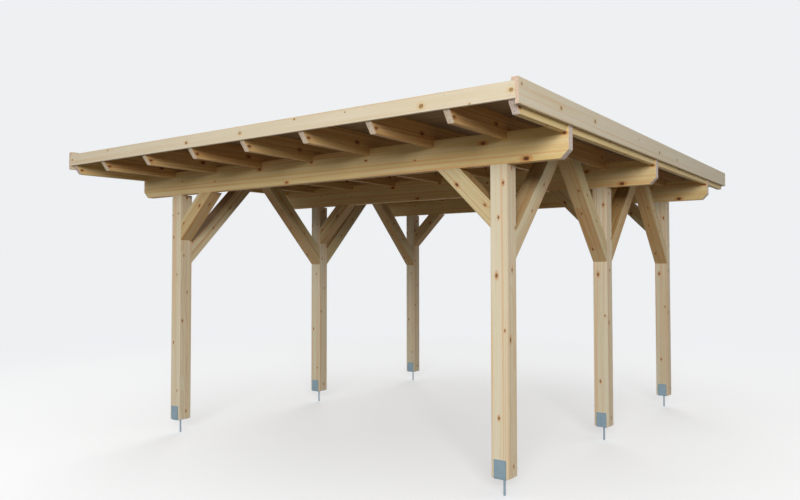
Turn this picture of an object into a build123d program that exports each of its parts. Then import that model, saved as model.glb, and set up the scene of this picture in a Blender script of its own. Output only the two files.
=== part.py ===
from build123d import *

import os

# A timber carport, open on all sides, in millimetres.
# X runs across the carport, Y from its front edge to its back edge and Z up.
# The origin lies on the ground, under the middle of the roof.
# The anchor rods under the six posts stand on Z = 0.
# The roof falls gently towards the front: each beam lies a little higher than the one before.

# Plan
post_side = 115.0
post_spacing_across = 3030.0
bay_length = 1755.0
front_overhang = 745.0
back_overhang = 705.0

# Heights above the ground
post_foot_height = 115.0
front_beam_underside = 1995.0
bay_rise = 25.0

# Beams
beam_depth = 195.0
beam_thickness = 60.0
beam_end_bevel = 50.0
beam_overhang = 445.0

# Rafters
rafter_width = 40.0
rafter_depth = 140.0
rafter_notch = 45.0
notch_clearance = 1.0
rafter_bevel_run = 50.0
rafter_bevel_rise = 66.0
rafters_from_post_to_post = 7
edge_rafter_inset = 8.0

# Knee braces, square in section and set at 45 degrees
brace_side = 115.0
beam_brace_leg = 380.0
side_brace_head_gap = 178.0

# Roof deck, covering and edge boards
deck_thickness = 16.0
covering_thickness = 4.0
fascia_thickness = 20.0
low_fascia_height = 90.0
raised_fascia_height = 136.0
raised_fascia_above_underside = 38.0
batten_thickness = 22.0

# Post anchors
anchor_plate_width = 80.0
anchor_plate_height = 110.0
anchor_plate_thickness = 6.0
anchor_rod_diameter = 14.0

# Eased edges along the planed timbers
eased_edge = 2.0

# Worked out from the sizes above
half_post = post_side / 2
half_spacing = post_spacing_across / 2
roof_length = front_overhang + 2 * bay_length + back_overhang
roof_front = -roof_length / 2
roof_back = roof_length / 2
row_places = {"front": roof_front + front_overhang}
row_places["middle"] = row_places["front"] + bay_length
row_places["back"] = row_places["middle"] + bay_length
side_signs = {"left": -1, "right": 1}
roof_slope = bay_rise / bay_length
frame_half_width = half_spacing + beam_overhang
frame_front = roof_front + fascia_thickness
frame_back = roof_back - fascia_thickness
brace_cut = brace_side * 2**0.5


def beam_underside(row):
    """Height of a beam's underside, which is also the top of the two posts under it."""
    bays_back = (row_places[row] - row_places["front"]) / bay_length
    return front_beam_underside + bays_back * bay_rise


def beam_front(row):
    """Place along Y of a beam's front face, flush with the front faces of its posts."""
    return row_places[row] - half_post


def roof_height(y, above_underside=0.0):
    """Height at a place along Y of a line that lies so far above the rafters' underside."""
    seat = front_beam_underside + beam_depth - rafter_notch
    return seat + roof_slope * (y - row_places["front"]) + above_underside


def sloped_strip(y_start, y_end, low, high):
    """Corners in the YZ plane of a strip between two heights above the rafters' underside."""
    return [
        (y_start, roof_height(y_start, low)),
        (y_end, roof_height(y_end, low)),
        (y_end, roof_height(y_end, high)),
        (y_start, roof_height(y_start, high)),
    ]


def ease_long_edges(end_edge):
    """Eases every edge of the timber being built that is longer than those round its cut ends."""
    long_edges = edges().filter_by(lambda edge: edge.length > end_edge + eased_edge)
    chamfer(long_edges, length=eased_edge)


def save(name, solid):
    solid.label = name
    export_step(solid, f"parts/{name}.step")
    return solid


os.makedirs("parts", exist_ok=True)
carport = []

# Posts
for row, row_y in row_places.items():
    for side, sign in side_signs.items():
        post_height = beam_underside(row) - post_foot_height
        with BuildPart() as post:
            with BuildSketch(Plane.XY.offset(post_foot_height)):
                with Locations((sign * half_spacing, row_y)):
                    Rectangle(post_side, post_side)
            extrude(amount=post_height)
            ease_long_edges(post_side)
        carport.append(save(f"post_{row}_{side}", post.part))

# Post anchors: a U-shaped shoe round the post's foot on a round rod
for row, row_y in row_places.items():
    for side, sign in side_signs.items():
        shoe_underside = post_foot_height - anchor_plate_thickness
        plate_top = post_foot_height + anchor_plate_height
        outer = half_post + anchor_plate_thickness
        with BuildPart() as anchor:
            with BuildSketch(Plane.YZ.offset(sign * half_spacing)):
                with BuildLine():
                    Polyline(
                        (row_y - outer, shoe_underside),
                        (row_y + outer, shoe_underside),
                        (row_y + outer, plate_top),
                        (row_y + half_post, plate_top),
                        (row_y + half_post, post_foot_height),
                        (row_y - half_post, post_foot_height),
                        (row_y - half_post, plate_top),
                        (row_y - outer, plate_top),
                        close=True,
                    )
                make_face()
            extrude(amount=anchor_plate_width / 2, both=True)
            # The plate is bent, so its outer corners are round and it stays as thick as elsewhere.
            bends = edges().filter_by(Axis.X).group_by(Axis.Z)[0]
            fillet(bends, radius=anchor_plate_thickness)
            with BuildSketch(Plane.XY):
                with Locations((sign * half_spacing, row_y)):
                    Circle(anchor_rod_diameter / 2)
            extrude(amount=shoe_underside)
        carport.append(save(f"post_anchor_{row}_{side}", anchor.part))

# Beams with both lower corners bevelled
for row in row_places:
    low = beam_underside(row)
    high = low + beam_depth
    with BuildPart() as beam:
        with BuildSketch(Plane.XZ.offset(-beam_front(row))):
            with BuildLine():
                Polyline(
                    (-frame_half_width + beam_end_bevel, low),
                    (frame_half_width - beam_end_bevel, low),
                    (frame_half_width, low + beam_end_bevel),
                    (frame_half_width, high),
                    (-frame_half_width, high),
                    (-frame_half_width, low + beam_end_bevel),
                    close=True,
                )
            make_face()
        extrude(amount=-beam_thickness)
        ease_long_edges(beam_depth)
    carport.append(save(f"beam_{row}", beam.part))

# Braces from each post to its beam, inwards
for row, row_y in row_places.items():
    for side, sign in side_signs.items():
        post_face = sign * (half_spacing - half_post)
        top = beam_underside(row)
        with BuildPart() as brace:
            with BuildSketch(Plane.XZ.offset(-row_y)):
                with BuildLine():
                    Polyline(
                        (post_face, top - beam_brace_leg),
                        (post_face - sign * beam_brace_leg, top),
                        (post_face - sign * (beam_brace_leg - brace_cut), top),
                        (post_face, top - beam_brace_leg + brace_cut),
                        close=True,
                    )
                make_face()
            extrude(amount=brace_side / 2, both=True)
            ease_long_edges(brace_cut)
        carport.append(save(f"beam_brace_{row}_{side}", brace.part))


# The side braces' toes are level. Two heads in the front bay stay the named gap apart.
side_brace_reach = (bay_length - post_side - side_brace_head_gap) / 2
front_head = row_places["front"] + half_post + side_brace_reach
toe = roof_height(front_head) - side_brace_reach


def side_brace_outline(row_y, direction):
    """Corners in the YZ plane of a brace from a post up to the sloping rafter over it."""
    toe_y = row_y + direction * half_post
    # A line at 45 degrees from a start height meets the rafter's underside after this run.
    per_run = 1 - direction * roof_slope
    lower_run = (roof_height(toe_y) - toe) / per_run
    upper_run = (roof_height(toe_y) - toe - brace_cut) / per_run
    return [
        (toe_y, toe),
        (toe_y + direction * lower_run, toe + lower_run),
        (toe_y + direction * upper_run, toe + brace_cut + upper_run),
        (toe_y, toe + brace_cut),
    ]


# Braces from each post to the rafter over it, towards the neighbouring post
side_braces = [("front", "back", 1), ("middle", "front", -1), ("middle", "back", 1), ("back", "front", -1)]
for row, towards, direction in side_braces:
    for side, sign in side_signs.items():
        with BuildPart() as brace:
            with BuildSketch(Plane.YZ.offset(sign * half_spacing)):
                with BuildLine():
                    Polyline(*side_brace_outline(row_places[row], direction), close=True)
                make_face()
            extrude(amount=brace_side / 2, both=True)
            ease_long_edges(brace_cut)
        carport.append(save(f"side_brace_{row}_{side}_to_{towards}", brace.part))

# Rafters, notched over the three beams and undercut at both ends
post_rafter_x = half_spacing + half_post - rafter_width / 2
rafter_pitch = 2 * post_rafter_x / (rafters_from_post_to_post - 1)
edge_rafter_x = frame_half_width - edge_rafter_inset - rafter_width / 2
rafter_places = [-edge_rafter_x]
rafter_places += [-post_rafter_x + step * rafter_pitch for step in range(rafters_from_post_to_post)]
rafter_places += [edge_rafter_x]
for number, rafter_x in enumerate(rafter_places, start=1):
    with BuildPart() as rafter:
        with BuildSketch(Plane.YZ.offset(rafter_x)):
            with BuildLine():
                Polyline(
                    (frame_front, roof_height(frame_front, rafter_bevel_rise)),
                    (frame_front + rafter_bevel_run, roof_height(frame_front + rafter_bevel_run)),
                    (frame_back - rafter_bevel_run, roof_height(frame_back - rafter_bevel_run)),
                    (frame_back, roof_height(frame_back, rafter_bevel_rise)),
                    (frame_back, roof_height(frame_back, rafter_depth)),
                    (frame_front, roof_height(frame_front, rafter_depth)),
                    close=True,
                )
            make_face()
            for row in row_places:
                notch_top = beam_underside(row) + beam_depth
                notch_middle = beam_front(row) + beam_thickness / 2
                with Locations((notch_middle, notch_top)):
                    Rectangle(
                        beam_thickness + notch_clearance,
                        2 * rafter_notch,
                        align=(Align.CENTER, Align.MAX),
                        mode=Mode.SUBTRACT,
                    )
        extrude(amount=rafter_width / 2, both=True)
        ease_long_edges(rafter_depth)
    carport.append(save(f"rafter_{number}", rafter.part))

# Roof deck on the rafters, up to the backs of the four fascias
with BuildPart() as deck:
    with BuildSketch(Plane.YZ):
        with BuildLine():
            Polyline(
                *sloped_strip(frame_front, frame_back, rafter_depth, rafter_depth + deck_thickness),
                close=True,
            )
        make_face()
    extrude(amount=frame_half_width, both=True)
carport.append(save("roof_deck", deck.part))

# Battens along the sides and the back, on the deck and behind the raised fascias
deck_top = rafter_depth + deck_thickness
raised_top = raised_fascia_above_underside + raised_fascia_height
inner_half_width = frame_half_width - batten_thickness
inner_back = frame_back - batten_thickness
for side, sign in side_signs.items():
    with BuildPart() as batten:
        with BuildSketch(Plane.YZ.offset(sign * (frame_half_width - batten_thickness / 2))):
            with BuildLine():
                Polyline(*sloped_strip(roof_front, frame_back, deck_top, raised_top), close=True)
            make_face()
        extrude(amount=batten_thickness / 2, both=True)
    carport.append(save(f"edge_batten_{side}", batten.part))
with BuildPart() as back_batten:
    with BuildSketch(Plane.YZ):
        with BuildLine():
            Polyline(*sloped_strip(inner_back, frame_back, deck_top, raised_top), close=True)
        make_face()
    extrude(amount=inner_half_width, both=True)
carport.append(save("edge_batten_back", back_batten.part))

# Covering on the deck between the battens
with BuildPart() as covering:
    with BuildSketch(Plane.YZ):
        with BuildLine():
            Polyline(
                *sloped_strip(frame_front, inner_back, deck_top, deck_top + covering_thickness),
                close=True,
            )
        make_face()
    extrude(amount=inner_half_width, both=True)
carport.append(save("roof_covering", covering.part))

# Side fascias, over the full length
for side, sign in side_signs.items():
    with BuildPart() as fascia:
        with BuildSketch(Plane.YZ.offset(sign * (frame_half_width + fascia_thickness / 2))):
            with BuildLine():
                Polyline(
                    *sloped_strip(roof_front, roof_back, raised_fascia_above_underside, raised_top),
                    close=True,
                )
            make_face()
        extrude(amount=fascia_thickness / 2, both=True)
        ease_long_edges(raised_fascia_height)
    carport.append(save(f"fascia_{side}", fascia.part))

# Back fascia, raised like the sides and between them
with BuildPart() as back_fascia:
    with BuildSketch(Plane.YZ):
        with BuildLine():
            Polyline(
                *sloped_strip(frame_back, roof_back, raised_fascia_above_underside, raised_top),
                close=True,
            )
        make_face()
    extrude(amount=frame_half_width, both=True)
    ease_long_edges(raised_fascia_height)
carport.append(save("fascia_back", back_fascia.part))

# Front fascia, low so that the roof drains over it. Its top is level with the deck's,
# and the side battens run over it to the front.
with BuildPart() as front_fascia:
    with BuildSketch(Plane.XZ.offset(-roof_front)):
        with Locations((0, roof_height(roof_front, deck_top))):
            Rectangle(2 * frame_half_width, low_fascia_height, align=(Align.CENTER, Align.MAX))
    extrude(amount=-fascia_thickness)
    ease_long_edges(low_fascia_height)
carport.append(save("fascia_front", front_fascia.part))

assembly = Compound(label="carport", children=carport)
box = assembly.bounding_box()
print("nodes", len(carport))
print("box", box.min, box.max)
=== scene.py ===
from math import pi, radians

import bmesh
import bpy
import numpy as np
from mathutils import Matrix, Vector


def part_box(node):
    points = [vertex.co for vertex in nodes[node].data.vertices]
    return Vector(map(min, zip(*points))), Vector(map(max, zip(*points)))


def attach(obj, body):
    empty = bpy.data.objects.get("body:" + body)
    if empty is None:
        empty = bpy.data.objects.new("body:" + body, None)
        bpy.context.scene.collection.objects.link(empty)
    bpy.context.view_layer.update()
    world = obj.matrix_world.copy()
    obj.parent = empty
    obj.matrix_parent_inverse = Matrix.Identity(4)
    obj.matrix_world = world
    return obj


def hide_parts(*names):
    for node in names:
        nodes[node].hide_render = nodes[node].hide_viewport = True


# A timber carport. Every size is in metres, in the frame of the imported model.
mm = 0.001

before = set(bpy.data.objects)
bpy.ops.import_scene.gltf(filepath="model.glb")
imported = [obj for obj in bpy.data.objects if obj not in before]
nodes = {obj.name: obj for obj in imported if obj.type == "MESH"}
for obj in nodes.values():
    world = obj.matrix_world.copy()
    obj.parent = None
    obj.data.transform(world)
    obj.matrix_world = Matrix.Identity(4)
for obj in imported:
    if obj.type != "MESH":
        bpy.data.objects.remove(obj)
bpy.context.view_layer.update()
scene = bpy.context.scene

rows = ("front", "middle", "back")
sides = {"left": -1, "right": 1}


def corners(node):
    """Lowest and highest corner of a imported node, as arrays."""
    low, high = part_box(node)
    return np.array(low), np.array(high)


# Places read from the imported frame
front_beam_low = corners("beam_front")[0]
middle_beam_low = corners("beam_middle")[0]
deck_low, deck_high = corners("roof_deck")
covering_low, covering_high = corners("roof_covering")
fascia_low, fascia_high = corners("fascia_front")
roof_slope = (middle_beam_low[2] - front_beam_low[2]) / (middle_beam_low[1] - front_beam_low[1])
deck_thickness = deck_high[2] - deck_low[2] - roof_slope * (deck_high[1] - deck_low[1])
covering_thickness = covering_high[2] - covering_low[2] - roof_slope * (covering_high[1] - covering_low[1])

# Directions along the timbers
across_roof = np.array([1.0, 0.0, 0.0])
upright = np.array([0.0, 0.0, 1.0])
to_back = np.array([0.0, 1.0, 0.0])
up_the_roof = np.array([0.0, 1.0, roof_slope]) / np.hypot(1.0, roof_slope)
square_to_roof = np.array([0.0, -roof_slope, 1.0]) / np.hypot(1.0, roof_slope)


# Materials


def linear(hex_colour):
    """An sRGB hex colour as linear light.

    Each part c becomes ((c + 0.055) / 1.055) to the power 2.4, or c / 12.92 near black.
    """
    srgb = np.array([int(hex_colour[i : i + 2], 16) for i in (1, 3, 5)]) / 255
    return (*np.where(srgb > 0.04045, ((srgb + 0.055) / 1.055) ** 2.4, srgb / 12.92), 1.0)


def add(tree, kind, inputs=None, **settings):
    """Adds a shader node.

    settings are its own properties. inputs gives each socket a value or what feeds it.
    """
    node = tree.nodes.new("ShaderNode" + kind)
    for name, value in settings.items():
        setattr(node, name, value)
    for socket, value in (inputs or {}).items():
        if isinstance(value, bpy.types.Node):
            value = value.outputs[0]
        if isinstance(value, bpy.types.NodeSocket):
            tree.links.new(value, node.inputs[socket])
        else:
            node.inputs[socket].default_value = value
    return node


def new_material(name):
    """An empty material and its node tree."""
    material = bpy.data.materials.new(name)
    material.use_nodes = True
    material.node_tree.nodes.clear()
    return material, material.node_tree


# A Mix node has a socket of each name for every kind of value. These are the places of the colour ones.
mix_a, mix_b, mixed = 6, 7, 2


def planed_spruce(name, streaks, pale, honey, blush, late_wood, knot_heart, knot_rim, end_pale, end_dark):
    """Spruce, planed and left bare: a satin cream with honey streaks along the grain, fine darker
    late-wood lines, round brown knots that the lines swerve round, and greyer, open cut ends.

    streaks says how much of a face they cover, from 0 to 1. The material reads four attributes of
    the piece. grain is the place along, across and through the timber in metres. knot is the place
    along and across from the nearest knot's centre, over the knot's radius, and the knot's tone.
    timber holds a seed, how many glued layers there are to a metre and 1 on a cut end. The fourth
    is 1 on a face that looks up from under the roof, where painted shade darkens and browns the
    colour, and a piece without that painted shade doesn't have it.
    """
    material, tree = new_material(name)
    grain = add(tree, "Attribute", attribute_name="grain").outputs["Vector"]
    knot = add(tree, "Attribute", attribute_name="knot").outputs["Vector"]
    timber = add(tree, "Attribute", attribute_name="timber").outputs["Vector"]
    place = add(tree, "SeparateXYZ", {0: grain})
    facts = add(tree, "SeparateXYZ", {0: timber})
    along, across, through = place.outputs
    seed, layer_rate, on_end = facts.outputs

    # Glued layers: each has its own tone and its own distance from the pith of its tree
    layer_height = add(tree, "Math", {0: through, 1: layer_rate}, operation="MULTIPLY")
    layer = add(tree, "Math", {0: layer_height}, operation="FLOOR")
    layer_key = add(tree, "CombineXYZ", {0: seed, 1: layer})
    chance = add(tree, "TexWhiteNoise", {0: layer_key}, noise_dimensions="3D")
    chances = add(tree, "SeparateXYZ", {0: chance.outputs["Color"]})
    shift = add(tree, "VectorMath", {0: chance.outputs["Color"], "Scale": 7.0}, operation="SCALE")
    shifted = add(tree, "VectorMath", {0: grain, 1: shift}, operation="ADD")

    # Growth rings: circles round a pith that wanders slowly along the timber
    wander_place = add(tree, "VectorMath", {0: shifted, 1: (0.9, 5.0, 5.0)}, operation="MULTIPLY")
    wander = add(tree, "TexNoise", {"Vector": wander_place, "Scale": 1.0, "Detail": 2.0})
    pith_across = add(tree, "Math", {0: chances.outputs[0], 1: 0.16, 2: -0.03}, operation="MULTIPLY_ADD")
    pith_through = add(tree, "Math", {0: chances.outputs[1], 1: 0.10, 2: -0.13}, operation="MULTIPLY_ADD")
    from_pith_across = add(tree, "Math", {0: across, 1: pith_across}, operation="SUBTRACT")
    from_pith_through = add(tree, "Math", {0: through, 1: pith_through}, operation="SUBTRACT")
    from_pith = add(tree, "CombineXYZ", {0: from_pith_across, 1: from_pith_through})
    ring_radius = add(tree, "VectorMath", {0: from_pith}, operation="LENGTH").outputs["Value"]
    wandered = add(tree, "Math", {0: wander.outputs[0], 1: 0.05, 2: ring_radius}, operation="MULTIPLY_ADD")

    # Knots: lines swell round them, out to about three radii, and each has a rough, soft edge
    knot_place = add(tree, "VectorMath", {0: knot, 1: (1.0, 1.0, 0.0)}, operation="MULTIPLY")
    rough_edge = add(tree, "TexNoise", {"Vector": grain, "Scale": 90.0, "Detail": 1.0})
    knot_radius = add(tree, "VectorMath", {0: knot_place}, operation="LENGTH").outputs["Value"]
    knot_reach = add(
        tree, "Math", {0: rough_edge.outputs[0], 1: 0.5, 2: knot_radius}, operation="MULTIPLY_ADD"
    )
    swell = add(
        tree, "MapRange", {0: knot_radius, 1: 0.6, 2: 3.2, 3: 1.0, 4: 0.0}, interpolation_type="SMOOTHERSTEP"
    )
    bent = add(tree, "Math", {0: swell.outputs[0], 1: 0.012, 2: wandered}, operation="MULTIPLY_ADD")
    heart = add(
        tree, "MapRange", {0: knot_reach, 1: 0.85, 2: 1.2, 3: 1.0, 4: 0.0}, interpolation_type="SMOOTHSTEP"
    )
    # The stain round a knot is longer along the grain than the knot
    stain_place = add(tree, "VectorMath", {0: knot, 1: (0.75, 1.0, 0.0)}, operation="MULTIPLY")
    stain_radius = add(tree, "VectorMath", {0: stain_place}, operation="LENGTH").outputs["Value"]
    stain_reach = add(
        tree, "Math", {0: rough_edge.outputs[0], 1: 0.5, 2: stain_radius}, operation="MULTIPLY_ADD"
    )
    rim = add(
        tree, "MapRange", {0: stain_reach, 1: 1.0, 2: 2.1, 3: 1.0, 4: 0.0}, interpolation_type="SMOOTHSTEP"
    )

    # Rings are 2 to 3 mm wide in slow spruce. They are drawn 4 mm wide, so that they show.
    ring_count = add(tree, "Math", {0: bent, 1: 1 / (4 * mm)}, operation="MULTIPLY")
    ring_part = add(tree, "Math", {0: ring_count}, operation="FRACT")
    late = add(
        tree, "MapRange", {0: ring_part, 1: 0.35, 2: 0.95, 3: 0.0, 4: 1.0}, interpolation_type="SMOOTHSTEP"
    )

    # Fibres 1 mm across and 60 mm long, streaks of tone 30 mm across and 1 m long, and bands of blush
    # 11 mm across and 2 m long
    fibre_place = add(tree, "VectorMath", {0: shifted, 1: (16.0, 1000.0, 1000.0)}, operation="MULTIPLY")
    fibre = add(tree, "TexNoise", {"Vector": fibre_place, "Scale": 1.0, "Detail": 2.0})
    streak_place = add(tree, "VectorMath", {0: shifted, 1: (1.0, 34.0, 34.0)}, operation="MULTIPLY")
    streak = add(tree, "TexNoise", {"Vector": streak_place, "Scale": 1.0, "Detail": 3.0, "Roughness": 0.6})
    band_place = add(tree, "VectorMath", {0: shifted, 1: (0.5, 90.0, 90.0)}, operation="MULTIPLY")
    band_noise = add(tree, "TexNoise", {"Vector": band_place, "Scale": 1.0, "Detail": 2.0})
    band = add(tree, "Math", {0: chances.outputs[2], 1: 0.16, 2: band_noise}, operation="MULTIPLY_ADD")

    # Colour, from the ground tone up
    honey_share = add(tree, "MapRange", {0: streak.outputs[0], 1: 0.35, 2: 0.68, 3: 0.0, 4: 1.0})
    ground = add(tree, "Mix", {0: honey_share, mix_a: pale, mix_b: honey}, data_type="RGBA")
    first_streak = 0.67 - 0.2 * streaks
    full_streak = first_streak + 0.11
    blush_share = add(
        tree, "MapRange", {0: band.outputs[0], 1: first_streak, 2: full_streak, 3: 0.0, 4: 0.95}
    )
    blushed = add(
        tree, "Mix", {0: blush_share, mix_a: ground.outputs[mixed], mix_b: blush}, data_type="RGBA"
    )
    layer_share = add(tree, "MapRange", {0: chances.outputs[2], 1: 0.4, 2: 1.0, 3: 0.0, 4: 0.4})
    layered = add(
        tree, "Mix", {0: layer_share, mix_a: blushed.outputs[mixed], mix_b: honey}, data_type="RGBA"
    )
    late_depth = add(tree, "Math", {0: blush_share, 1: 0.3, 2: 0.3}, operation="MULTIPLY_ADD")
    late_share = add(tree, "Math", {0: late.outputs[0], 1: late_depth}, operation="MULTIPLY")
    ringed = add(
        tree, "Mix", {0: late_share, mix_a: layered.outputs[mixed], mix_b: late_wood}, data_type="RGBA"
    )
    fibre_tone = add(tree, "MapRange", {0: fibre.outputs[0], 1: 0.25, 2: 0.75, 3: 0.93, 4: 1.05})
    fibred = add(tree, "VectorMath", {0: ringed.outputs[mixed], "Scale": fibre_tone}, operation="SCALE")

    # A glue line under 1 mm wide between layers
    layer_part = add(tree, "Math", {0: layer_height, 1: 1.0}, operation="PINGPONG")
    near_glue = add(tree, "Math", {0: layer_part, 1: 0.012}, operation="LESS_THAN")
    is_layered = add(tree, "Math", {0: layer_rate, 1: 1.0}, operation="GREATER_THAN")
    glue_share = add(tree, "Math", {0: near_glue, 1: is_layered}, operation="MULTIPLY")
    glue_tint = add(tree, "Math", {0: glue_share, 1: 0.3}, operation="MULTIPLY")
    glued = add(tree, "Mix", {0: glue_tint, mix_a: fibred.outputs[0], mix_b: knot_rim}, data_type="RGBA")

    # Cut ends: the open fibres are greyer, take up dirt in specks about 7 mm wide, and rings show more
    speck = add(tree, "TexNoise", {"Vector": grain, "Scale": 1 / (7 * mm), "Detail": 2.0, "Roughness": 0.6})
    speck_share = add(tree, "MapRange", {0: speck.outputs[0], 1: 0.42, 2: 0.7, 3: 0.0, 4: 0.6})
    ring_share = add(tree, "Math", {0: late.outputs[0], 1: 0.5, 2: speck_share}, operation="MULTIPLY_ADD")
    end_tint = add(tree, "Mix", {0: ring_share, mix_a: end_pale, mix_b: end_dark}, data_type="RGBA")
    ended = add(
        tree,
        "Mix",
        {0: on_end, mix_a: glued.outputs[mixed], mix_b: end_tint.outputs[mixed]},
        data_type="RGBA",
    )

    # The knot's rim stains the wood round it, and its heart has rings of its own
    knot_rings = add(tree, "Math", {0: knot_reach, 1: 5.0}, operation="MULTIPLY")
    knot_ring = add(tree, "Math", {0: knot_rings, 1: 1.0}, operation="PINGPONG")
    knot_tone = add(tree, "SeparateXYZ", {0: knot}).outputs[2]
    paler = add(tree, "Math", {0: knot_tone, 1: 0.28}, operation="MULTIPLY")
    heart_wood = add(tree, "Mix", {0: paler, mix_a: knot_heart, mix_b: knot_rim}, data_type="RGBA")
    heart_tone = add(tree, "MapRange", {0: knot_ring, 3: 0.78, 4: 1.15})
    heart_colour = add(
        tree, "VectorMath", {0: heart_wood.outputs[mixed], "Scale": heart_tone}, operation="SCALE"
    )
    rim_share = add(tree, "Math", {0: rim.outputs[0], 1: 0.7}, operation="MULTIPLY")
    rimmed = add(tree, "Mix", {0: rim_share, mix_a: ended.outputs[mixed], mix_b: knot_rim}, data_type="RGBA")
    heart_share = add(tree, "Math", {0: heart.outputs[0], 1: 0.95}, operation="MULTIPLY")
    colour = add(
        tree, "Mix", {0: heart_share, mix_a: rimmed.outputs[mixed], mix_b: heart_colour}, data_type="RGBA"
    )

    # Painted shade: a face that looks up from under the roof is made browner and darker, as shade makes it
    dust = add(tree, "Attribute", attribute_name="dust").outputs["Fac"]
    dusted = add(
        tree,
        "Mix",
        {0: dust, mix_a: colour.outputs[mixed], mix_b: linear("#DBC9B2")},
        data_type="RGBA",
        blend_type="MULTIPLY",
    )

    # Relief: late wood stands a little proud of the planed face, and fibres show as fine lines
    relief = add(tree, "Math", {0: fibre.outputs[0], 1: 0.8, 2: late.outputs[0]}, operation="MULTIPLY_ADD")
    knotted_relief = add(tree, "Math", {0: heart.outputs[0], 1: 1.4, 2: relief}, operation="MULTIPLY_ADD")
    bump = add(tree, "Bump", {"Strength": 0.35, "Distance": 0.15 * mm, "Height": knotted_relief})
    roughness = add(tree, "MapRange", {0: late.outputs[0], 3: 0.66, 4: 0.52})
    surface = add(
        tree,
        "BsdfPrincipled",
        {"Base Color": dusted.outputs[mixed], "Roughness": roughness, "Normal": bump, "IOR": 1.5},
    )
    surface.inputs["Specular IOR Level"].default_value = 0.35
    add(tree, "OutputMaterial", {"Surface": surface})
    return material


def galvanised_steel():
    """Mild steel, hot-dip galvanised: a cool mid grey with a satin shine and faint patches of zinc
    crystals that each shine a little differently, and no clear reflection."""
    material, tree = new_material("hot_dip_galvanised_steel")
    place = add(tree, "TexCoord").outputs["Object"]
    # Zinc crystals about 9 mm across
    crystals = add(tree, "TexVoronoi", {"Vector": place, "Scale": 1 / (9 * mm)})
    tone = add(tree, "SeparateXYZ", {0: crystals.outputs["Color"]})
    shine = add(tree, "MapRange", {0: tone.outputs[0], 3: 0.4, 4: 0.48})
    # Cloudy patches about 50 mm across, where the zinc has dulled
    cloud = add(tree, "TexNoise", {"Vector": place, "Scale": 1 / (50 * mm), "Detail": 3.0})
    crystal_share = add(tree, "Math", {0: tone.outputs[1], 1: 0.2}, operation="MULTIPLY")
    share = add(tree, "Math", {0: cloud.outputs[0], 1: 0.6, 2: crystal_share}, operation="MULTIPLY_ADD")
    colour = add(
        tree, "Mix", {0: share, mix_a: linear("#7B919D"), mix_b: linear("#9DB0BA")}, data_type="RGBA"
    )
    bump = add(tree, "Bump", {"Strength": 0.1, "Distance": 0.2 * mm, "Height": cloud.outputs[0]})
    surface = add(
        tree,
        "BsdfPrincipled",
        {"Base Color": colour.outputs[mixed], "Metallic": 0.9, "Roughness": shine, "Normal": bump},
    )
    add(tree, "OutputMaterial", {"Surface": surface})
    return material


def stainless_steel():
    """Stainless steel, cold-headed and pickled: a light warm grey with a soft shine, and a fine
    mottle that breaks the shine up."""
    material, tree = new_material("pickled_stainless_steel")
    place = add(tree, "TexCoord").outputs["Object"]
    # Mottle about 1 mm across
    mottle = add(tree, "TexNoise", {"Vector": place, "Scale": 1 / (1 * mm), "Detail": 2.0})
    pale, dark = linear("#CFCDC8"), linear("#B4B1AB")
    colour = add(tree, "Mix", {0: mottle.outputs[0], mix_a: dark, mix_b: pale}, data_type="RGBA")
    shine = add(tree, "MapRange", {0: mottle.outputs[0], 1: 0.3, 2: 0.7, 3: 0.3, 4: 0.42})
    surface = add(
        tree, "BsdfPrincipled", {"Base Color": colour.outputs[mixed], "Metallic": 1.0, "Roughness": shine}
    )
    add(tree, "OutputMaterial", {"Surface": surface})
    return material


def slated_felt():
    """Bitumen roofing felt faced with crushed slate and torched on: dark grey and matt, with a grain
    of lighter and darker chips, and a smooth black line of bitumen that ran out along each lap.

    Its attribute lap holds how far a point lies in front of the next lap, in metres."""
    material, tree = new_material("slated_bitumen_felt")
    place = add(tree, "TexCoord").outputs["Object"]
    ahead = add(tree, "Attribute", attribute_name="lap").outputs["Fac"]
    # The bead of bitumen is 6 to 14 mm wide and wavers about every 60 mm
    waver_place = add(tree, "VectorMath", {0: place, 1: (1.0, 0.0, 0.0)}, operation="MULTIPLY")
    waver = add(tree, "TexNoise", {"Vector": waver_place, "Scale": 1 / (60 * mm), "Detail": 2.0})
    bead_width = add(tree, "MapRange", {0: waver.outputs[0], 1: 0.3, 2: 0.7, 3: 6 * mm, 4: 14 * mm})
    bead = add(tree, "Math", {0: ahead, 1: bead_width}, operation="LESS_THAN")
    # Chips about 2 mm across, drawn 4 mm, so that they show
    chips = add(tree, "TexVoronoi", {"Vector": place, "Scale": 1 / (4 * mm)})
    chip = add(tree, "SeparateXYZ", {0: chips.outputs["Color"]})
    # Thin patches about 300 mm across
    patch = add(tree, "TexNoise", {"Vector": place, "Scale": 1 / 0.3, "Detail": 4.0})
    chip_share = add(tree, "Math", {0: chip.outputs[0], 1: 0.7}, operation="MULTIPLY")
    share = add(tree, "Math", {0: patch.outputs[0], 1: 0.5, 2: chip_share}, operation="MULTIPLY_ADD")
    colour = add(
        tree, "Mix", {0: share, mix_a: linear("#3B3D40"), mix_b: linear("#5F6266")}, data_type="RGBA"
    )
    beaded = add(
        tree, "Mix", {0: bead, mix_a: colour.outputs[mixed], mix_b: linear("#202022")}, data_type="RGBA"
    )
    chip_height = add(tree, "Math", {0: chips.outputs["Distance"], 1: bead}, operation="MAXIMUM")
    bump = add(tree, "Bump", {"Strength": 0.5, "Distance": 1.0 * mm, "Height": chip_height})
    roughness = add(tree, "MapRange", {0: bead, 3: 0.92, 4: 0.45})
    surface = add(
        tree, "BsdfPrincipled", {"Base Color": beaded.outputs[mixed], "Roughness": roughness, "Normal": bump}
    )
    add(tree, "OutputMaterial", {"Surface": surface})
    return material


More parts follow.
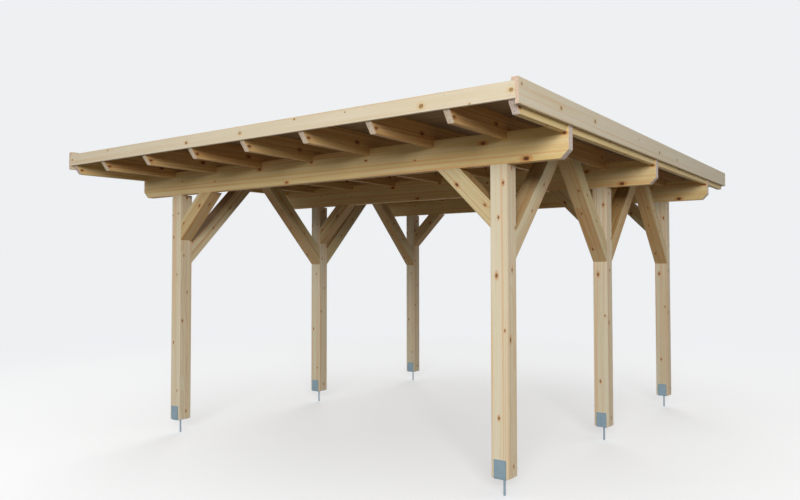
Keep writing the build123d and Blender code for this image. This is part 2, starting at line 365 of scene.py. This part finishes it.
pale_spruce = planed_spruce(
    "planed_spruce_pale",
    streaks=0.42,
    pale=linear("#E7E0C9"),
    honey=linear("#DFD5B5"),
    blush=linear("#E3C098"),
    late_wood=linear("#CDA475"),
    knot_heart=linear("#6B401F"),
    knot_rim=linear("#CE965E"),
    end_pale=linear("#E5D0C4"),
    end_dark=linear("#A5836D"),
)
# Partly painted shade: the dense streaks are the wood's own, but this copy is darker than the posts' wood,
# standing in for the shade on the braces
streaky_spruce = planed_spruce(
    "planed_spruce_streaky_painted_shade",
    streaks=0.5,
    pale=linear("#D9CCA4"),
    honey=linear("#CDBA86"),
    blush=linear("#C99B65"),
    late_wood=linear("#B28552"),
    knot_heart=linear("#60381A"),
    knot_rim=linear("#C48952"),
    end_pale=linear("#E1CDC2"),
    end_dark=linear("#9C7966"),
)
even_spruce = planed_spruce(
    "planed_spruce_even",
    streaks=0.42,
    pale=linear("#E2D8BA"),
    honey=linear("#D8CAA1"),
    blush=linear("#D3AA7C"),
    late_wood=linear("#BC9162"),
    knot_heart=linear("#60381A"),
    knot_rim=linear("#C48951"),
    end_pale=linear("#E1CDC0"),
    end_dark=linear("#9B7964"),
)
# Painted shade: a yellower, more saturated copy of the same spruce for the beams and the edge rafters,
# standing in for the warm shade that the beams are in
honey_spruce = planed_spruce(
    "planed_spruce_honey_painted_shade",
    streaks=0.35,
    pale=linear("#EFDBA9"),
    honey=linear("#E3C887"),
    blush=linear("#E7B780"),
    late_wood=linear("#CC9B5B"),
    knot_heart=linear("#5B2E0E"),
    knot_rim=linear("#D28744"),
    end_pale=linear("#F5E9DF"),
    end_dark=linear("#916755"),
)
# Painted shade: a darker, warmer copy of the same spruce for the inner rafters, standing in for the warm
# shade under the roof
warm_spruce = planed_spruce(
    "planed_spruce_warm_painted_shade",
    streaks=0.5,
    pale=linear("#DDBD86"),
    honey=linear("#CEA468"),
    blush=linear("#C5915E"),
    late_wood=linear("#A3713E"),
    knot_heart=linear("#5E361A"),
    knot_rim=linear("#A56B3A"),
    end_pale=linear("#EEE0CC"),
    end_dark=linear("#A58968"),
)
fascia_spruce = planed_spruce(
    "planed_spruce_board",
    streaks=0.25,
    pale=linear("#E2D8C2"),
    honey=linear("#DCCFB2"),
    blush=linear("#DCC6A5"),
    late_wood=linear("#CCB288"),
    knot_heart=linear("#8D662E"),
    knot_rim=linear("#D7BD90"),
    end_pale=linear("#E0CCB8"),
    end_dark=linear("#BD9677"),
)
# Painted shade: the roof boards are the same spruce, coloured much darker and browner, as they look in the
# shade under the roof
deck_spruce = planed_spruce(
    "planed_spruce_decking_painted_shade",
    streaks=0.5,
    pale=linear("#8C7454"),
    honey=linear("#7C6344"),
    blush=linear("#78583C"),
    late_wood=linear("#60452B"),
    knot_heart=linear("#4E3018"),
    knot_rim=linear("#805A36"),
    end_pale=linear("#C9B9A8"),
    end_dark=linear("#8F7660"),
)
zinc = galvanised_steel()
stainless = stainless_steel()
felt = slated_felt()


# Meshes


def finished(name, mesh, material, slot, *replaced):
    """Puts a mesh into the scene as a piece of the carport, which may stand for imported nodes."""
    piece = bpy.data.objects.new(name, mesh)
    scene.collection.objects.link(piece)
    piece.data.materials.append(material)
    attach(piece, "root")
    if replaced:
        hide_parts(*replaced)


def read(items, field, width=1, kind=float):
    """A field of a mesh's points, corners or faces, as an array with a row for each."""
    values = np.empty(len(items) * width, dtype=kind)
    items.foreach_get(field, values)
    return values.reshape(-1, width) if width > 1 else values


def write_attribute(mesh, name, domain, values):
    """Stores a number or a vector for each point, corner or face of a mesh."""
    values = np.ascontiguousarray(values, dtype=np.float32)
    kind, field = ("FLOAT", "value") if values.ndim == 1 else ("FLOAT_VECTOR", "vector")
    layer = mesh.attributes.new(name, kind, domain)
    layer.data.foreach_set(field, values.ravel())


# How far apart knots by chance are along a face, how far they keep from its end, how large they are
# in millimetres, and how much longer a knot is along the grain than across it
knot_step_least = 0.25
knot_step_most = 0.8
knot_end_distance = 0.05
knot_radius_least = 3.5
knot_radius_most = 9.5
timber_knot_stretch = 1.5
board_knot_stretch = 1.2

# The place from a knot, in its radii, of a corner that has none near it
far_from_knot = 9.0

# The least cosine between a face's normal and the way that it is said to look
facing = 0.9

# Points closer than this are one
merge_distance = 0.01 * mm


def scattered_knots(chance, length, width):
    """Knots at uneven steps along a face, as places along and across and a radius.

    They keep 15% of the width from its edges, and a radius is at most a fifth of the width.
    """
    steps = chance.uniform(knot_step_least, knot_step_most, int(length / knot_step_least) + 1)
    places = np.cumsum(steps)
    places = places[places < length - knot_end_distance]
    inset = chance.uniform(0.15, 0.85, len(places)) * width
    radii = np.minimum(chance.uniform(knot_radius_least, knot_radius_most, len(places)) * mm, 0.2 * width)
    return np.column_stack([places, inset, radii])


def tone_of_knot(along):
    """A knot's tone from 0, dark, to 1, pale. It jumps about with the knot's place along the timber."""
    return (along * 61.0) % 1.0


def knot_places(local, faces, count, normals, centres, knots_by_side, stretch):
    """For each face corner, the place from the knot that is nearest along that face, over its radius,
    and the knot's tone.

    Sides 0 and 1 look along the across direction and sides 2 and 3 along the through direction, the
    lower one first. A corner on a side without a knot, a cut end or an eased edge is put far away.
    """
    values = np.full((len(faces), 3), far_from_knot)
    of_corner = np.repeat(np.arange(len(count)), count)
    for side, knots in knots_by_side.items():
        if len(knots) == 0:
            continue
        axis, sign = (1, 2)[side // 2], (-1, 1)[side % 2]
        other = 3 - axis
        looks = normals[:, axis] * sign > facing
        nearest = np.abs(centres[:, None, 0] - knots[None, :, 0]).argmin(axis=1)
        chosen = knots[nearest[of_corner]]
        here = looks[of_corner]
        offset = local[faces][:, [0, other]] - chosen[:, :2]
        values[here, 0] = (offset[:, 0] / chosen[:, 2] / stretch)[here]
        values[here, 1] = (offset[:, 1] / chosen[:, 2])[here]
        values[here, 2] = tone_of_knot(chosen[here, 0])
    return values


def timber(node, axes, material, slot, seed, layers=0, knots=None, stretch=timber_knot_stretch, dusty=False):
    """A copy of a packed timber, cut between its knots and given its grain.

    axes are three unit vectors, along, across and through the timber. A point's grain place is how
    far it lies along each of them from the timber's lowest corner. layers is how many glued layers
    there are through the timber, and knots gives the seen ones for some of its four sides. The last
    argument says that painted shade darkens its upper side.
    """
    chance = np.random.default_rng(seed)
    turn = np.array(axes)
    shape = bmesh.new()
    shape.from_mesh(nodes[node].data)
    bmesh.ops.remove_doubles(shape, verts=shape.verts, dist=merge_distance)
    bmesh.ops.dissolve_limit(shape, angle_limit=radians(0.5), verts=shape.verts, edges=shape.edges)
    name = f"spruce_{node}"
    mesh = bpy.data.meshes.new(name)
    shape.to_mesh(mesh)
    places = read(mesh.vertices, "co", 3) @ turn.T
    origin, size = places.min(axis=0), np.ptp(places, axis=0)

    knots_by_side = {}
    for side in range(4):
        width = size[2] if side < 2 else size[1]
        seen = (knots or {}).get(side)
        knots_by_side[side] = (
            scattered_knots(chance, size[0], width) if seen is None else np.array(sorted(seen)) * mm
        )
    for found in knots_by_side.values():
        for cut in (found[1:, 0] + found[:-1, 0]) / 2 if len(found) > 1 else ():
            bmesh.ops.bisect_plane(
                shape,
                geom=[*shape.verts, *shape.edges, *shape.faces],
                dist=merge_distance,
                plane_co=Vector((origin[0] + cut) * turn[0]),
                plane_no=Vector(turn[0]),
            )

    shape.to_mesh(mesh)
    shape.free()
    local = read(mesh.vertices, "co", 3) @ turn.T - origin
    faces = read(mesh.loops, "vertex_index", kind=int)
    count = read(mesh.polygons, "loop_total", kind=int)
    normals = read(mesh.polygons, "normal", 3) @ turn.T
    centres = read(mesh.polygons, "center", 3) @ turn.T - origin
    facts = np.zeros((len(count), 3))
    facts[:, 0] = seed
    facts[:, 1] = layers / size[2]
    facts[:, 2] = np.abs(normals[:, 0]) > 0.5
    write_attribute(mesh, "grain", "POINT", local)
    knot = knot_places(local, faces, count, normals, centres, knots_by_side, stretch)
    write_attribute(mesh, "knot", "CORNER", knot)
    write_attribute(mesh, "timber", "FACE", facts)
    # Faces that look up get painted shade
    if dusty:
        write_attribute(mesh, "dust", "FACE", normals[:, 2] > facing)
    finished(name, mesh, material, slot, node)


# Knots seen in the photo, in millimetres: place along, place across and radius
beam_front_knots = [
    (517, 111, 5), (926, 82, 5), (1435, 137, 13), (1720, 16, 11), (1966, 145, 8), (2463, 112, 7),
    (2867, 78, 5), (3370, 138, 14), (3657, 19, 16), (3896, 143, 10),
]
fascia_front_knots = [
    (24, 45, 9), (507, 76, 8), (1431, 37, 13), (1965, 44, 12), (2445, 76, 8), (2842, 68, 5),
    (3368, 33, 16), (3664, 5, 6), (3899, 44, 13),
]
fascia_side_knots = [
    (37, 103, 9), (536, 67, 15), (1067, 76, 15), (1954, 85, 7), (2477, 54, 14), (2999, 56, 13),
]
rafter_side_knots = [
    (50, 32, 9), (529, 68, 13), (1400, 40, 7), (2330, 80, 10), (3150, 38, 8), (4020, 75, 11),
]
post_front_knots = {
    "left": [(240, 82, 6), (640, 32, 7), (1210, 70, 6), (1525, 24, 7), (1718, 12, 7), (1719, 82, 8)],
    "right": [(357, 51, 8), (880, 94, 6), (1209, 40, 11), (1559, 54, 7), (1766, 87, 9)],
}
post_right_knots = {
    "left": [(66, 66, 7), (823, 23, 8), (1060, 70, 7), (1370, 34, 6), (1500, 102, 7), (1860, 60, 9)],
    "right": [(66, 66, 7), (824, 32, 11), (1242, 58, 9), (1500, 102, 7), (1860, 60, 8)],
}
beam_brace_knots = [(125, 72, 8), (362, 30, 11)]
side_brace_outer_knots = [(384, 53, 7), (651, 51, 8)]
side_brace_lower_knots = [(138, 34, 9), (514, 46, 7), (736, 85, 8)]

# Glued layers through each timber
post_layers = 3
beam_layers = 5
brace_layers = 3

# Each side brace: the row of its post, the row that it leans towards, and which way that is
side_brace_runs = (
    ("front", "back", 1),
    ("middle", "front", -1),
    ("middle", "back", 1),
    ("back", "front", -1),
)
rafter_numbers = range(1, 10)

# The first seed of each kind of timber. Each timber has a seed of its own.
post_seed = 14
beam_seed = 41
beam_brace_seed = 61
side_brace_seed = 81
rafter_seed = 100
edge_board_seed = 121
roof_board_seed = 151


def posts():
    """Three glued layers stand side by side in each post, so their edges show on its front and back."""
    for row_number, row in enumerate(rows):
        for side in sides:
            seed = post_seed + 7 * row_number + (side == "left")
            seen = {0: post_front_knots[side], 3: post_right_knots[side]}
            axes = (upright, to_back, across_roof)
            timber(f"post_{row}_{side}", axes, pale_spruce, "post_timber", seed, post_layers, seen)


def beams():
    """Five glued layers lie on each other in each beam. Its wood is the yellower copy, which is painted
    shade.
    """
    for seed, row in enumerate(rows, start=beam_seed):
        axes = (across_roof, to_back, upright)
        seen = {0: beam_front_knots}
        timber(f"beam_{row}", axes, honey_spruce, "beam_timber", seed, beam_layers, seen)


def braces():
    """Three glued layers in each knee brace, whose edges show on its wide sides."""
    for row_number, row in enumerate(rows):
        for side, sign in sides.items():
            along = np.array([-sign, 0.0, 1.0]) / 2**0.5
            through = np.array([sign, 0.0, 1.0]) / 2**0.5
            node = f"beam_brace_{row}_{side}"
            seed = beam_brace_seed + 3 * row_number + (side == "left")
            seen = {0: beam_brace_knots}
            axes = (along, to_back, through)
            timber(node, axes, streaky_spruce, "brace_timber", seed, brace_layers, seen, dusty=True)
    for seed, (row, other, sense) in enumerate(side_brace_runs, start=side_brace_seed):
        for side in sides:
            along = np.array([0.0, sense, 1.0]) / 2**0.5
            through = np.array([0.0, -sense, 1.0]) / 2**0.5
            node = f"side_brace_{row}_{side}_to_{other}"
            seen = {1: side_brace_outer_knots, 2: side_brace_lower_knots}
            axes = (along, across_roof, through)
            # The side braces behind the front row take the darker copy, as painted shade
            wood = even_spruce if row == "front" else streaky_spruce
            side_seed = seed + len(side_brace_runs) * (side == "left")
            timber(node, axes, wood, "brace_timber", side_seed, brace_layers, seen, dusty=True)


def rafters():
    """Each rafter is one solid timber on edge. The inner ones take a darker, warmer copy of the wood, which
    is painted shade; the two at the roof's sides take the beams' yellower copy.
    """
    axes = (up_the_roof, across_roof, square_to_roof)
    seen = {1: rafter_side_knots}
    for number in rafter_numbers:
        wood = honey_spruce if number in (rafter_numbers[0], rafter_numbers[-1]) else warm_spruce
        timber(f"rafter_{number}", axes, wood, "rafter_timber", rafter_seed + number, knots=seen)


def edge_boards():
    """Fascias round the roof's edge and battens behind the raised ones."""
    level = (across_roof, to_back, upright)
    sloping = (up_the_roof, across_roof, square_to_roof)
    seen_on = {"fascia_front": {0: fascia_front_knots}, "fascia_right": {1: fascia_side_knots}}
    boards = {
        "fascia_front": level,
        "fascia_back": level,
        "edge_batten_back": level,
        "fascia_left": sloping,
        "fascia_right": sloping,
        "edge_batten_left": sloping,
        "edge_batten_right": sloping,
    }
    for seed, (node, axes) in enumerate(boards.items(), start=edge_board_seed):
        seen = seen_on.get(node)
        timber(node, axes, fascia_spruce, "fascia_board", seed, knots=seen, stretch=board_knot_stretch)


# Post anchors
anchor_plate_thickness = 6 * mm
anchor_rod_radius = 7 * mm
weld_leg = 5 * mm
weld_overlap = 0.3 * mm
weld_ripples = 14
points_round_weld = 42
rings_of_weld = 6


def post_anchors():
    """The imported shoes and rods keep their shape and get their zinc, and a weld bead joins them.

    The bead is a hollow fillet, turned round the rod: at angle a and step t from 0 to 1 its reach
    from the rod and its drop below the shoe are leg * (1 - sin) and leg * (1 - cos) of t * 90
    degrees, and both swell and shrink by a tenth as the cosine of 14 times a, as its ripples do.
    """
    turn_steps = np.arange(points_round_weld) * 2 * pi / points_round_weld
    angle, step = np.meshgrid(turn_steps, np.linspace(0, 1, rings_of_weld))
    swell = weld_leg * (1 + 0.1 * np.cos(weld_ripples * angle))
    reach = anchor_rod_radius - weld_overlap + swell * (1 - np.sin(step * pi / 2))
    drop = swell * (1 - np.cos(step * pi / 2))
    levels, around = angle.shape
    index = np.arange(levels * around).reshape(levels, around)
    after = np.roll(index, -1, axis=1)
    faces = np.stack([index[:-1], index[1:], after[1:], after[:-1]], axis=-1).reshape(-1, 4)
    for row in rows:
        for side in sides:
            nodes[f"post_anchor_{row}_{side}"].material_slots[0].material = zinc
            low, high = corners(f"post_anchor_{row}_{side}")
            post_foot = corners(f"post_{row}_{side}")[0][2]
            centre = (low + high) / 2
            x = centre[0] + reach * np.cos(angle)
            y = centre[1] + reach * np.sin(angle)
            z = post_foot - anchor_plate_thickness + weld_overlap - drop
            points = np.stack([x, y, z], axis=-1)
            name = f"anchor_weld_{row}_{side}"
            mesh = bpy.data.meshes.new(name)
            mesh.from_pydata(points.reshape(-1, 3).tolist(), [], faces.tolist())
            finished(name, mesh, zinc, "galvanised_steel")


# Roof boards
board_count = 41
board_cover = (deck_high[1] - deck_low[1]) / board_count
board_gap = 0.6 * mm
board_groove = 3.5 * mm


def roof_boards():
    """Tongue-and-groove boards across the rafters, with a V groove under each joint.

    A board's outline is six points, at s along the slope and h above the underside. Each outline is
    carried across the roof to every station, so x = station, y = front + s and z = underside(y) + h.
    Stations lie halfway between the board's knots.
    """
    chance = np.random.default_rng(roof_board_seed)
    low_x, high_x = deck_low[0], deck_high[0]
    wide, thick, groove = board_cover - board_gap, deck_thickness, board_groove
    outline = np.array(
        [(groove, 0), (wide - groove, 0), (wide, groove), (wide, thick), (0, thick), (0, groove)]
    )
    ring = len(outline)
    points, faces, grain, knot, facts = [], [], [], [], []
    first = 0
    for board in range(board_count):
        knots = scattered_knots(chance, high_x - low_x, wide)
        cuts = (knots[1:, 0] + knots[:-1, 0]) / 2
        stations = np.concatenate([[0.0], cuts, [high_x - low_x]])
        u, point = np.meshgrid(stations, np.arange(ring), indexing="ij")
        s, h = outline[point, 0], outline[point, 1]
        y = deck_low[1] + board * board_cover + s
        z = deck_low[2] + roof_slope * (y - deck_low[1]) + h
        points.append(np.stack([low_x + u, y, z], axis=-1).reshape(-1, 3))
        grain.append(np.stack([u, s, h], axis=-1).reshape(-1, 3))

        # Faces run from station to station, and a cap closes each end
        index = first + np.arange(len(stations) * ring).reshape(-1, ring)
        after = np.roll(index, -1, axis=1)
        runs = np.stack([index[:-1], after[:-1], after[1:], index[1:]], axis=-1).reshape(-1, 4)
        faces += [*runs.tolist(), index[0, ::-1].tolist(), index[-1].tolist()]
        facts.append(np.tile((roof_board_seed + board, 0.0, 0.0), (len(runs), 1)))
        facts.append(np.tile((roof_board_seed + board, 0.0, 1.0), (2, 1)))

        # Knots show on the underside only, which is the first side of the outline
        from_knot = np.full((len(knots), ring, 4, 3), far_from_knot)
        ends = np.stack([stations[:-1], stations[:-1], stations[1:], stations[1:]], axis=-1)
        along, inset, radius = knots.T[..., None]
        from_knot[:, 0, :, 0] = (ends - along) / radius / board_knot_stretch
        from_knot[:, 0, :, 1] = (outline[[0, 1, 1, 0], 0] - inset) / radius
        from_knot[:, 0, :, 2] = tone_of_knot(along)
        knot += [from_knot.reshape(-1, 3), np.full((2 * ring, 3), far_from_knot)]
        first += len(stations) * ring
    mesh = bpy.data.meshes.new("roof_boards")
    mesh.from_pydata(np.concatenate(points).tolist(), [], faces)
    write_attribute(mesh, "grain", "POINT", np.concatenate(grain))
    write_attribute(mesh, "knot", "CORNER", np.concatenate(knot))
    write_attribute(mesh, "timber", "FACE", np.concatenate(facts))
    finished("roof_boards", mesh, deck_spruce, "deck_boards", "roof_deck")


# Roofing felt
course_width = 1.0
course_lap = 0.1
felt_upturn = 9 * mm
felt_setback = 14 * mm
felt_front_thinning = 0.3
felt_ramp = 0.09
felt_upturn_start = 0.03
felt_ripple = 0.4 * mm
felt_lift = 0.8 * mm
felt_over_fascia = 0.2 * mm


def felt_courses():
    """Felt laid in courses across the roof, each over the edge of the one below it.

    Over a grid of x and y the top lies at deck(y) + t * (1 + lap(y)) + edge(x, y) + ripple(x, y). t is
    the felt's thickness. lap is 1 just above each course's lower edge and fades over the lap's width.
    edge rises as a quarter circle against the battens, and ripple is two slow sine waves. At the
    front a smooth step, ramp, lifts the felt on to the fascia and thins it. The grid's lines lie
    closer together at laps, ramp and edges.
    """
    low_x, high_x = covering_low[0], covering_high[0]
    low_y, high_y = fascia_low[1] + felt_setback, covering_high[1]
    lap_lines = np.arange(covering_low[1] + course_width - course_lap, high_y, course_width - course_lap)
    lap_steps = lap_lines[:, None] + np.array([-25 * mm, -1 * mm, 0, 0.5 * course_lap, course_lap])
    rise_steps = fascia_high[1] + np.array([-1.0, 0.0, 0.02, 0.05, felt_ramp])
    back_steps = high_y - felt_upturn * np.array([1.4, 0.9, 0.5, 0.2, 0.0])
    even_y_steps = np.linspace(low_y, high_y, 50)
    y_steps = np.unique(np.concatenate([even_y_steps, lap_steps.ravel(), rise_steps, back_steps]))
    y_steps = y_steps[(y_steps >= low_y) & (y_steps <= high_y)]
    side_steps = felt_upturn * np.array([0.0, 0.2, 0.5, 0.9, 1.4])
    even_x_steps = np.linspace(low_x, high_x, 40)
    x_steps = np.unique(np.concatenate([even_x_steps, low_x + side_steps, high_x - side_steps]))
    x, y = np.meshgrid(x_steps, y_steps, indexing="ij")
    deck_top = covering_low[2] + roof_slope * (y - covering_low[1])
    past_lap = (y[..., None] - lap_lines) / course_lap
    lap = np.where((past_lap >= 0) & (past_lap <= 1), 1 - past_lap, 0).max(axis=-1)
    near_side = np.clip(1 - np.minimum(x - low_x, high_x - x) / felt_upturn, 0, 1)
    near_back = np.clip(1 - (high_y - y) / felt_upturn, 0, 1)
    on_roof = np.clip((y - fascia_high[1]) / felt_upturn_start, 0, 1)
    turn_up = felt_upturn * (1 - np.sqrt(1 - np.maximum(near_side * on_roof, near_back) ** 2))
    ripple = felt_ripple * (np.sin(5.1 * x + 0.8 * y) + np.sin(3.3 * y - 1.7 * x + 1.0))
    over_fascia = fascia_high[2] - (covering_low[2] + roof_slope * (fascia_high[1] - covering_low[1]))
    ramp = np.clip((fascia_high[1] + felt_ramp - y) / felt_ramp, 0, 1)
    ramp = ramp * ramp * (3 - 2 * ramp)
    base = deck_top + ramp * over_fascia
    base = np.where(y < fascia_high[1], fascia_high[2] + felt_over_fascia, base)
    thickness = covering_thickness * (1 + lap - felt_front_thinning * ramp)
    top = base + thickness + turn_up + (ripple + felt_lift) * (1 - ramp)
    under = base + turn_up
    ni, nj = x.shape
    upper = np.stack([x, y, top], axis=-1).reshape(-1, 3)
    lower = np.stack([x, y, under], axis=-1).reshape(-1, 3)
    index = np.arange(ni * nj).reshape(ni, nj)
    quads = np.stack([index[:-1, :-1], index[1:, :-1], index[1:, 1:], index[:-1, 1:]], axis=-1)
    quads = quads.reshape(-1, 4)
    border = np.concatenate([index[:, 0], index[-1, 1:], index[-2::-1, -1], index[0, -2:0:-1]])
    after = np.roll(border, -1)
    skirt = np.stack([border, border + ni * nj, after + ni * nj, after], axis=-1)
    faces = np.concatenate([quads, quads[:, ::-1] + ni * nj, skirt])
    mesh = bpy.data.meshes.new("felt_courses")
    mesh.from_pydata(np.concatenate([upper, lower]).tolist(), [], faces.tolist())
    to_lap = lap_lines - y.reshape(-1, 1)
    ahead = np.where(to_lap >= 0, to_lap, np.ptp(y_steps)).min(axis=1)
    write_attribute(mesh, "lap", "POINT", np.concatenate([ahead, ahead]))
    finished("felt_courses", mesh, felt, "roof_felt", "roof_covering")


# Fascia screws: stainless, countersunk, with heads 8 mm across
screw_head_radius = 4 * mm
screw_recess_radius = 1.9 * mm
screw_recess_depth = 1.6 * mm
screw_height = 0.1 * mm
screw_bevel = 0.3 * mm
screw_seat = 0.5 * mm
screw_lobes = 6
screw_lobe_swing = 0.2
points_round_screw = 32
screws_up_low_board = (18 * mm, 72 * mm)
screws_up_high_board = (30 * mm, 70 * mm)
screw_end_distance = 0.06
screw_stations = 9


def screw_heads(name, places, out):
    """Flat screw heads with a six-lobed recess, set all but flush with a board.

    Each head is a profile of radius and height above the board, turned about the screw's axis. At
    the recess the radius swings by a fifth as the cosine of six times the angle. out is the way
    that the heads face.
    """
    out = np.array(out)
    side_way = np.cross(upright, out)
    rise_way = np.cross(out, side_way)
    inner = screw_recess_radius
    radii = np.array([screw_head_radius, screw_head_radius - screw_bevel, inner, 0.85 * inner, 0.0])
    heights = np.array([-screw_seat, screw_height, screw_height, -screw_recess_depth, -screw_recess_depth])
    lobes = screw_lobe_swing * np.array([0, 0, 1, 1, 0])
    angle = np.arange(points_round_screw) * 2 * pi / points_round_screw
    swing = 1 + lobes[:, None] * np.cos(screw_lobes * angle)
    reach = (radii[:, None] * swing)[..., None]
    ring = reach * (np.cos(angle)[:, None] * side_way + np.sin(angle)[:, None] * rise_way)
    head = ring + heights[:, None, None] * out
    levels, around = head.shape[:2]
    index = np.arange(levels * around).reshape(levels, around)
    after = np.roll(index, -1, axis=1)
    quads = np.stack([index[:-1], after[:-1], after[1:], index[1:]], axis=-1).reshape(-1, 4)
    points = (np.array(places)[:, None, :] + head.reshape(1, -1, 3)).reshape(-1, 3)
    steps = np.arange(len(places))[:, None, None] * levels * around
    faces = (quads[None] + steps).reshape(-1, 4)
    mesh = bpy.data.meshes.new(name)
    mesh.from_pydata(points.tolist(), [], faces.tolist())
    shape = bmesh.new()
    shape.from_mesh(mesh)
    bmesh.ops.remove_doubles(shape, verts=shape.verts, dist=merge_distance)
    shape.to_mesh(mesh)
    shape.free()
    finished(name, mesh, stainless, "galvanised_steel")


def fascia_screws():
    """Two screws hold the front and back fascias at each rafter, and pairs in a row the side ones."""
    rafter_centres = [sum(corners(f"rafter_{number}"))[0] / 2 for number in rafter_numbers]
    for row, out, board in (("front", -1, "fascia_front"), ("back", 1, "fascia_back")):
        low, high = corners(board)
        face = low[1] if out < 0 else high[1]
        places = [(x, face, low[2] + up) for x in rafter_centres for up in screws_up_low_board]
        screw_heads(f"fascia_{row}_screws", places, (0.0, out, 0.0))
    for side, out in sides.items():
        low, high = corners(f"fascia_{side}")
        face = low[0] if out < 0 else high[0]
        stations = np.linspace(low[1] + screw_end_distance, high[1] - screw_end_distance, screw_stations)
        foot = low[2] + roof_slope * (stations - low[1])
        places = [(face, y, z + up) for y, z in zip(stations, foot) for up in screws_up_high_board]
        screw_heads(f"fascia_{side}_screws", places, (out, 0.0, 0.0))


# Stage, light and camera

# The camera sees a pale floor that glows a little. Light that bounces off it meets a darker and warmer
# colour, so that the roof's underside stays in shade.
floor_seen = linear("#F2F3F4")
floor_glow = 0.30
floor_bounce = linear("#797062")
floor_reach = 90.0
room_seen = linear("#EEF0F2")
fade_centre = (-1.2, 1.2, 0.0)
fade_start = 4.5
fade_end = 8.0


def seen_directly(tree):
    """A factor that is 1 for what the camera sees, straight or in metal or glass, and 0 for other light."""
    path = add(tree, "LightPath")
    mirrored = add(
        tree,
        "Math",
        {0: path.outputs["Is Glossy Ray"], 1: path.outputs["Is Transmission Ray"]},
        operation="MAXIMUM",
    )
    return add(tree, "Math", {0: path.outputs["Is Camera Ray"], 1: mirrored}, operation="MAXIMUM")


def stage():
    """A pale floor that keeps the carport's shadow and throws little light back up under its roof."""
    points = floor_reach * np.array([(-1, -1, 0), (1, -1, 0), (1, 1, 0), (-1, 1, 0)])
    mesh = bpy.data.meshes.new("studio_floor")
    mesh.from_pydata(points.tolist(), [], [(0, 1, 2, 3)])
    floor = bpy.data.objects.new("studio_floor", mesh)
    scene.collection.objects.link(floor)
    material, tree = new_material("pale_studio_floor")
    colour = add(
        tree, "Mix", {0: seen_directly(tree), mix_a: floor_bounce, mix_b: floor_seen}, data_type="RGBA"
    )
    surface = add(tree, "BsdfDiffuse", {"Color": colour.outputs[mixed]})
    shown_glow = add(tree, "Math", {0: seen_directly(tree), 1: floor_glow}, operation="MULTIPLY")
    glow = add(tree, "Emission", {"Strength": shown_glow})
    both = add(tree, "AddShader", {0: surface, 1: glow})
    # The floor fades into the room, so that it shows no far edge and no edge of the light. The fade is
    # centred away from the soft box, whose light is strongest on the floor near it.
    place = add(tree, "TexCoord").outputs["Object"]
    distance = add(tree, "VectorMath", {0: place, 1: fade_centre}, operation="DISTANCE").outputs["Value"]
    fade = add(tree, "MapRange", {0: distance, 1: fade_start, 2: fade_end}, interpolation_type="SMOOTHSTEP")
    shown_fade = add(tree, "Math", {0: fade.outputs[0], 1: seen_directly(tree)}, operation="MULTIPLY")
    far_tone = add(tree, "Emission", {"Color": room_seen})
    faded = add(tree, "MixShader", {0: shown_fade, 1: both, 2: far_tone})
    add(tree, "OutputMaterial", {"Surface": faded})
    mesh.materials.append(material)


# A broad soft box stands low at the front, a little to the right, so that its light reaches in under
# the roof and fades towards the back. A weaker sun lamp stands behind on the left. The room adds even light.
key_place = Vector((6.4, -11.0, 4.0))
key_aim = Vector((-6.0, -1.2, 1.7))
key_width = 6.0
key_height = 3.0
key_power = 930
# The fill's turn, height and spread are in degrees
fill_turn = 205
fill_height = 26
fill_spread = 40
fill_strength = 0.9
room_strength = 0.48


def light():
    """A soft box in front, a sun lamp with a wide disc behind, and a plain white room."""
    box = bpy.data.lights.new("soft_key", "AREA")
    box.shape = "RECTANGLE"
    box.size, box.size_y = key_width, key_height
    box.energy = key_power
    key = bpy.data.objects.new("soft_key", box)
    key.location = key_place
    key.rotation_euler = (key_aim - key_place).to_track_quat("-Z", "Y").to_euler()
    key.visible_camera = False
    scene.collection.objects.link(key)
    lamp = bpy.data.lights.new("soft_fill", "SUN")
    lamp.energy = fill_strength
    lamp.angle = radians(fill_spread)
    fill = bpy.data.objects.new("soft_fill", lamp)
    fill.rotation_euler = (radians(90 - fill_height), 0, radians(fill_turn))
    scene.collection.objects.link(fill)
    world = bpy.data.worlds.new("studio_room")
    world.use_nodes = True
    tree = world.node_tree
    tree.nodes.clear()
    lit = add(tree, "Background", {"Color": (1, 1, 1, 1), "Strength": room_strength})
    seen = add(tree, "Background", {"Color": room_seen, "Strength": 1.0})
    both = add(tree, "MixShader", {0: seen_directly(tree), 1: lit, 2: seen})
    add(tree, "OutputWorld", {"Surface": both})
    scene.world = world


# The camera as fitted to the photo, whose picture is 800 pixels wide. Its turns are in degrees.
image_pixels = 800
focal_pixels = 720.0
eye_place = (3.511, -5.680, 1.350)
eye_tilt = 1.70
eye_roll = 0.065
eye_heading = 35.01


def camera():
    """Stands where the photo was taken from, at eye height in front of the right-hand corner."""
    lens = bpy.data.cameras.new("photo_view")
    lens.sensor_width = 36.0
    lens.lens = lens.sensor_width * focal_pixels / image_pixels
    eye = bpy.data.objects.new("photo_view", lens)
    eye.location = eye_place
    eye.rotation_euler = (radians(90 + eye_tilt), radians(eye_roll), radians(eye_heading))
    scene.collection.objects.link(eye)
    scene.camera = eye


camera()
stage()
light()
posts()
beams()
braces()
rafters()
edge_boards()
post_anchors()
roof_boards()
felt_courses()
fascia_screws()

scene.view_settings.view_transform = "Standard"
